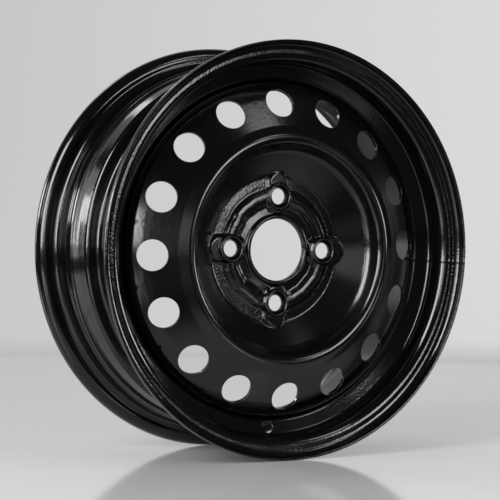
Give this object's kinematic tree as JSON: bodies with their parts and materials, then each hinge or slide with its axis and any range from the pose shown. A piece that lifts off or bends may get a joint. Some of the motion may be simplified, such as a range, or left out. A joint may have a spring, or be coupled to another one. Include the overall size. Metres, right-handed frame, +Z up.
{
  "type": "steel wheel",
  "caption": "Black pressed steel road wheel: drop-centre rim with rolled flanges and a welded, vented centre disc with bolt bosses round an open centre bore.",
  "frame": {"origin": "centre of the wheel: on its axis, midway between the two flanges", "axes": "+Y along the axis toward the inner side, where the hub is; the outer face looks toward -Y; +Z up, with the valve hole at the bottom"},
  "size_m": [0.3894, 0.1508, 0.3894],
  "materials": {
    "rim_paint": "gloss black baked paint on rolled steel",
    "disc_paint": "gloss black baked paint on pressed steel",
    "weld_paint": "black paint over rippled weld beads"
  },
  "bodies": {
    "root": {"rim_outer": "rim_paint", "rim_wall": "rim_paint", "rim_well": "rim_paint", "rim_inner": "rim_paint", "disc": "disc_paint", "disc_skirt": "disc_paint", "disc_welds": "weld_paint"}
  },
  "joints": []
}
